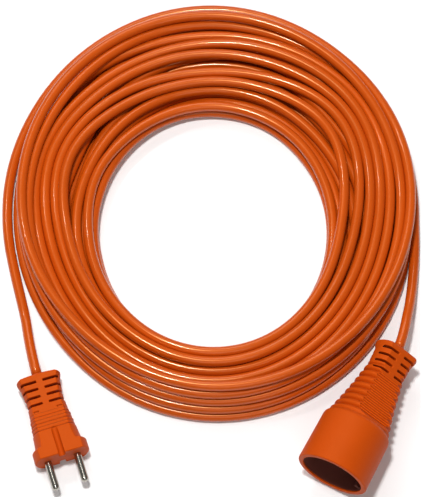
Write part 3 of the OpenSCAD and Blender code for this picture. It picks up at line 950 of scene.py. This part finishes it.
def resampled(line: np.ndarray, step: float) -> np.ndarray:
    """The same line with points an even distance apart.

    Args:
        line: points of the line.
        step: about how far apart.

    Returns:
        The new points, with both ends kept.
    """
    run = np.concatenate([[0], np.cumsum(np.linalg.norm(np.diff(line, axis=0), axis=1))])
    at = np.linspace(0, run[-1], max(2, round(run[-1] / step) + 1))
    return np.stack([np.interp(at, run, line[:, k]) for k in range(3)], 1)


# ---------------------------------------------------------------- mouldings


@dataclass
class Placing:
    """Where an end piece lies: +Z of its own space runs from the cord's entry to its front.

    Attributes:
        entry: the cord's entry, in millimetres.
        turn: turn of its axis about Z, in degrees.
        tip: how far its front is raised, in degrees.
        roll: roll about its own axis, in degrees.
    """

    entry: tuple[float, float, float]
    turn: float
    tip: float = 0.0
    roll: float = 0.0

    def matrix(self) -> Matrix:
        """The piece's place as one transform.

        Returns:
            From the piece's own millimetres to the object's metres.
        """
        return (
            Matrix.Translation(Vector(self.entry) * MM)
            @ Matrix.Rotation(math.radians(self.turn), 4, "Z")
            @ Matrix.Rotation(math.radians(-self.tip), 4, "Y")
            @ Matrix.Rotation(math.radians(self.roll), 4, "X")
            @ Matrix.Rotation(math.radians(90.0), 4, "Z")
            @ Matrix.Rotation(math.radians(90.0), 4, "X")
            @ Matrix.Scale(MM, 4)
        )

    def axis(self) -> Vector:
        """The direction from the cord's entry to the front."""
        return (self.matrix().to_3x3() @ Vector((0.0, 0.0, 1.0))).normalized()


def shown_mesh(piece: bpy.types.Object) -> bpy.types.Mesh:
    """A copy of the piece's mesh with its modifiers applied."""
    view = bpy.context.evaluated_depsgraph_get()
    return bpy.data.meshes.new_from_object(piece.evaluated_get(view))


@dataclass
class Moulding:
    """One soft moulded piece that stands for the solids of its moulding.

    Attributes:
        name: the piece's name.
        solids: the solids that it stands for.
        soften: smoothing steps, which round the edges, and soften_share the strength of each.
    """

    name: str
    solids: tuple[str, ...]
    voxel: float = 0.0003
    quick_coarser: float = 2.0
    soften: int = 4
    soften_share: float = 0.5

    def build(self) -> bpy.types.Object:
        """Copies the solids, joins them in one skin and rounds its edges.

        Returns:
            The moulded piece.
        """
        joined = bpy.data.meshes.new(self.name)
        points, faces = [], []
        for solid in self.solids:
            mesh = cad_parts[solid].data
            start = len(points)
            points += [tuple(v.co) for v in mesh.vertices]
            faces += [tuple(start + v for v in p.vertices) for p in mesh.polygons]
        joined.from_pydata(points, [], faces)
        rough = bpy.data.objects.new(self.name, joined)
        bpy.context.scene.collection.objects.link(rough)
        remesh = rough.modifiers.new("skin", "REMESH")
        remesh.mode = "VOXEL"
        remesh.voxel_size = self.voxel * 1.0
        smooth = rough.modifiers.new("soft_edges", "SMOOTH")
        smooth.factor = self.soften_share
        smooth.iterations = self.soften
        skin = shown_mesh(rough)
        rough.modifiers.clear()
        rough.data = skin
        skin.polygons.foreach_set("use_smooth", np.ones(len(skin.polygons), bool))
        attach(rough, "root")
        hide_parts(*self.solids)
        return rough


def skin_table(mesh: bpy.types.Mesh) -> tuple[np.ndarray, np.ndarray]:
    """The vertices and their normals, in the object's metres.

    Args:
        mesh: the mesh.

    Returns:
        Points and unit normals.
    """
    count = len(mesh.vertices)
    points, normals = np.zeros(count * 3), np.zeros(count * 3)
    mesh.vertices.foreach_get("co", points)
    mesh.vertex_normals.foreach_get("vector", normals)
    return points.reshape(-1, 3), normals.reshape(-1, 3)


def own_table(mesh: bpy.types.Mesh, matrix: Matrix) -> tuple[np.ndarray, np.ndarray]:
    """The vertices and their normals in a piece's own millimetres.

    Args:
        mesh: the mesh, in the object's metres.
        matrix: from the piece's own space to the object's.

    Returns:
        Points and unit normals.
    """
    points, normals = skin_table(mesh)
    back = np.array(matrix.inverted())
    own = points @ back[:3, :3].T + back[:3, 3]
    facing = normals @ back[:3, :3].T
    return own, facing / np.linalg.norm(facing, axis=1)[:, None]


def put_back(mesh: bpy.types.Mesh, own: np.ndarray, matrix: Matrix) -> None:
    """Writes changed points to a piece's mesh.

    Args:
        mesh: the mesh, in the object's metres.
        own: its points in the piece's own millimetres.
        matrix: from the piece's own space to the object's.
    """
    there = np.array(matrix)
    mesh.vertices.foreach_set("co", (own @ there[:3, :3].T + there[:3, 3]).ravel())
    mesh.update()


# The bend at which edge scuffing begins and at which the painted corner shade begins, and how
# much more bend makes each full.
RUBBED_BEND = (0.05, 0.15)
SHADED_CORNER_BEND = (0.04, 0.12)


def mark_edges(mesh: bpy.types.Mesh) -> None:
    """Gives each vertex its share of scuffing and painted shade: 1 on an edge that gets scuffed,
    -1 in a concave corner that is darkened as painted shade.

    Args:
        mesh: a dense mesh in metres.
    """
    points, normals = skin_table(mesh)
    count = len(points)
    ends = np.zeros(len(mesh.edges) * 2, int)
    mesh.edges.foreach_get("vertices", ends)
    a, b = ends.reshape(-1, 2).T
    hop = points[b] - points[a]
    length = np.maximum(np.linalg.norm(hop, axis=1), 1e-9)
    fall_a = -(normals[a] * hop).sum(1) / length
    fall_b = (normals[b] * hop).sum(1) / length
    fall = np.bincount(a, fall_a, count) + np.bincount(b, fall_b, count)
    joined = np.maximum(np.bincount(a, minlength=count) + np.bincount(b, minlength=count), 1)
    bend = fall / joined
    bend_mark = np.clip((bend - RUBBED_BEND[0]) / RUBBED_BEND[1], 0.0, 1.0)
    # Concave corners are darkened as painted shade, where shade would fall.
    corner_shade = np.clip((-bend - SHADED_CORNER_BEND[0]) / SHADED_CORNER_BEND[1], 0.0, 1.0)
    wear_and_shade = mesh.attributes.new(EDGE_WEAR_AND_SHADE, "FLOAT", "POINT")
    wear_and_shade.data.foreach_set("value", bend_mark - corner_shade)


# Degrees from which an edge is shaded sharp or rounded, and the round's width in metres.
SHARP_ANGLE = 30.0
EASED_ANGLE = 40.0
EASED_WIDTH = 0.00018


@dataclass
class EndPiece:
    """What the plug and the coupler share.

    Attributes:
        placing: where it lies.
        moulding: its soft outer piece.
        inner: its other pieces by name, with their finishes.
    """

    placing: Placing
    moulding: Moulding
    inner: dict[str, Finish]

    def build(self, palette: Palette) -> list[bpy.types.Object]:
        """Makes the moulding, shapes it and dresses all its pieces.

        Args:
            palette: the finishes.

        Returns:
            The pieces that show: the moulding first.
        """
        body = self.moulding.build()
        self.shape(body)
        mark_edges(body.data)
        palette.coat(body, MOULDED)
        LOG.info("%s: %d faces", body.name, len(body.data.polygons))
        pieces = [body]
        for name, finish in self.inner.items():
            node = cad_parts[name]
            self.ease_edges(node)
            palette.coat(node, finish)
            pieces.append(node)
            LOG.info("%s: %s", name, finish.name)
        return pieces

    def shape(self, body: bpy.types.Object) -> None:
        """Adds the fine forms of this moulding."""

    @staticmethod
    def ease_edges(node: bpy.types.Object) -> None:
        """Shades a turned or pressed piece smooth, with small rounds on its edges.

        Args:
            node: the piece.
        """
        node.data.polygons.foreach_set("use_smooth", np.ones(len(node.data.polygons), bool))
        node.data.set_sharp_from_angle(angle=math.radians(SHARP_ANGLE))
        bevel = node.modifiers.new("eased_edges", "BEVEL")
        bevel.width = EASED_WIDTH
        bevel.segments = 2
        bevel.limit_method = "ANGLE"
        bevel.angle_limit = math.radians(EASED_ANGLE)


@dataclass
class Plug(EndPiece):
    """The contour plug: soft moulding, two pins and what it is moulded round.

    Attributes:
        head_from: where the head's smooth part begins, in millimetres from the cord's entry,
            and head_h half its height there.
        head_rise: rise of its flat sides from there, for each millimetre.
        groove_from: where the first fine groove on the grip terraces lies.
        groove_pitch: distance between two grooves.
        groove_depths: the depth of each, and groove_w their half width.
        grip: distances from the axis, sideways and up, beyond which the skin is the grip's.
        groove_facing: part of a normal along the axis from which a face isn't grooved.
    """

    head_from: float = 39.65
    head_h: float = 10.30
    head_rise: float = 1.2 / 17.55
    groove_from: float = 27.3
    groove_pitch: float = 2.325
    groove_depths: tuple = (0.34, 0.56, 0.38, 0.56, 0.38, 0.56)
    groove_w: float = 0.42
    grip: tuple[float, float] = (10.0, 6.5)
    groove_facing: float = 0.8

    def shape(self, body: bpy.types.Object) -> None:
        """Runs the flat sides on to the face, and cuts the fine grooves of the grip.

        Args:
            body: the soft moulding.
        """
        matrix = self.placing.matrix()
        own, facing = own_table(body.data, matrix)
        height = self.head_h + self.head_rise * (own[:, 2] - self.head_from)
        over = (np.abs(own[:, 1]) > height) & (own[:, 2] > self.head_from)
        own[over, 1] = np.sign(own[over, 1]) * height[over]
        outside = (np.abs(own[:, 1]) > self.grip[1]) | (np.abs(own[:, 0]) > self.grip[0])
        outside &= np.abs(facing[:, 2]) < self.groove_facing
        for k, depth in enumerate(self.groove_depths):
            off = (own[:, 2] - self.groove_from - k * self.groove_pitch) / self.groove_w
            cut = depth * np.exp(-off * off) * outside
            own -= cut[:, None] * facing * (1.0, 1.0, 0.0)
        put_back(body.data, own, matrix)


@dataclass
class Coupler(EndPiece):
    """The one-way coupler: ribbed grip, smooth collar and its lined recess.

    Attributes:
        ridge_from: where the fine ridges on the flat pads begin, in millimetres, ridge_to
            where they end, and ridge_fade the length in which each end fades.
        ridge_pitch: distance between two ridges.
        ridge_depth: depth of the grooves between them, and ridge_round the power that
            rounds the ridges.
        pad_height: height from the axis above which the skin is a pad's.
        pad_facing: part of a normal off the pad's plane from which a face is the pad's, and
            pad_blend the part in which it becomes so.
        rib_from: where the rounded ribs begin, rib_to where they end, and ribs their number.
        rib_margin: ribs left as they are at the two ends, and rib_fade those that blend.
        rib_extra: how far they stand out more than the solid's, up and down.
        rib_round: the power that rounds them, and rib_middle the height that stays.
        rib_out: distance from the axis beyond which the skin is a rib's.
        rib_facing: part of a normal along the axis from which a face stays.
    """

    ridge_from: float = 23.6
    ridge_to: float = 56.5
    ridge_fade: float = 0.8
    ridge_pitch: float = 1.6
    ridge_depth: float = 1.0
    ridge_round: float = 0.8
    pad_height: float = 9.0
    pad_facing: float = 0.86
    pad_blend: float = 0.08
    rib_from: float = 19.4
    rib_to: float = 58.7
    ribs: int = 8
    rib_margin: tuple[float, float] = (0.5, 0.2)
    rib_fade: float = 0.4
    rib_extra: float = 0.35
    rib_round: float = 0.7
    rib_middle: float = 0.55
    rib_out: float = 10.5
    rib_facing: float = 0.95

    def shape(self, body: bpy.types.Object) -> None:
        """Cuts the grooves across the two flat pads of the grip, and sharpens its ribs.

        Args:
            body: the soft moulding.
        """
        matrix = self.placing.matrix()
        own, facing = own_table(body.data, matrix)
        flat = ease((np.abs(facing[:, 1]) - self.pad_facing) / self.pad_blend)
        along = ease((own[:, 2] - self.ridge_from) / self.ridge_fade)
        along *= ease((self.ridge_to - own[:, 2]) / self.ridge_fade)
        outside = np.abs(own[:, 1]) > self.pad_height
        phase = math.pi * (own[:, 2] - self.ridge_from) / self.ridge_pitch
        wave = 1.0 - np.abs(np.sin(phase)) ** self.ridge_round
        depth = self.ridge_depth * wave * flat * along * outside
        own[:, 1] -= np.sign(own[:, 1]) * depth
        rib = (own[:, 2] - self.rib_from) / (self.rib_to - self.rib_from) * self.ribs
        out = np.hypot(own[:, 0], own[:, 1])
        skin = ease((self.ribs - self.rib_margin[1] - rib) / self.rib_fade)
        skin = skin * ease((rib - self.rib_margin[0]) / self.rib_fade) * (out > self.rib_out)
        crest = np.abs(np.sin(math.pi * rib)) ** self.rib_round - self.rib_middle
        push = self.rib_extra * 2 * crest * skin * (1.0 - flat)
        push = push * (np.abs(facing[:, 2]) < self.rib_facing)
        own[:, :2] *= (1.0 + push / np.maximum(out, 1.0))[:, None]
        put_back(body.data, own, matrix)


PLUG_PLACE = Placing((-110.4, -86.65, 11.5), PLUG_TURN)
COUPLER_PLACE = Placing((118.3, -71.55, 18.985), COUPLER_TURN, tip=3.5, roll=-30.0)

PLUG_INNER = {
    "plug_pin_left": NICKEL, "plug_pin_right": NICKEL, "plug_bridge": PALE,
    "plug_crimp_left": CRIMP, "plug_crimp_right": CRIMP,
    "plug_strands_brown": COPPER, "plug_strands_blue": COPPER,
    "plug_core_brown": CORE_BROWN, "plug_core_blue": CORE_BLUE, "plug_sheath_end": SHEATH_END,
}
COUPLER_INNER = {
    "coupler_insert": LINING, "coupler_face": LINING, "coupler_carrier": PALE,
    "coupler_contact_upper": BRASS, "coupler_contact_lower": BRASS,
    "coupler_spring_upper": SPRING, "coupler_spring_lower": SPRING,
    "coupler_strands_brown": COPPER, "coupler_strands_blue": COPPER,
    "coupler_core_brown": CORE_BROWN, "coupler_core_blue": CORE_BLUE,
    "coupler_sheath_end": SHEATH_END,
}


def main() -> None:
    """Builds the studio, the cord, the plug and the coupler, and logs each."""
    logging.basicConfig(level=logging.INFO, format="%(name)s: %(message)s")
    Studio().build()
    LOG.info("studio ready")
    palette = Palette()
    cord = Cord(
        CoilLay(),
        Vector(COUPLER_PLACE.entry),
        COUPLER_PLACE.axis(),
        Vector(PLUG_PLACE.entry),
        PLUG_PLACE.axis(),
    )
    cable, line = cord.build()
    palette.coat(cable, SHEATH)
    top = line[:, 2].max() / MM + cord.lay.thick / 2
    LOG.info("cord: %d rings, top at %.1f mm", len(line), top)
    plug = Plug(PLUG_PLACE, Moulding("plug_moulding", ("plug_body",)), PLUG_INNER)
    coupler = Coupler(
        COUPLER_PLACE, Moulding("coupler_moulding", ("coupler_grip", "coupler_collar")),
        COUPLER_INNER,
    )
    plug_pieces = plug.build(palette)
    coupler_pieces = coupler.build(palette)


if __name__ == "__main__":
    main()
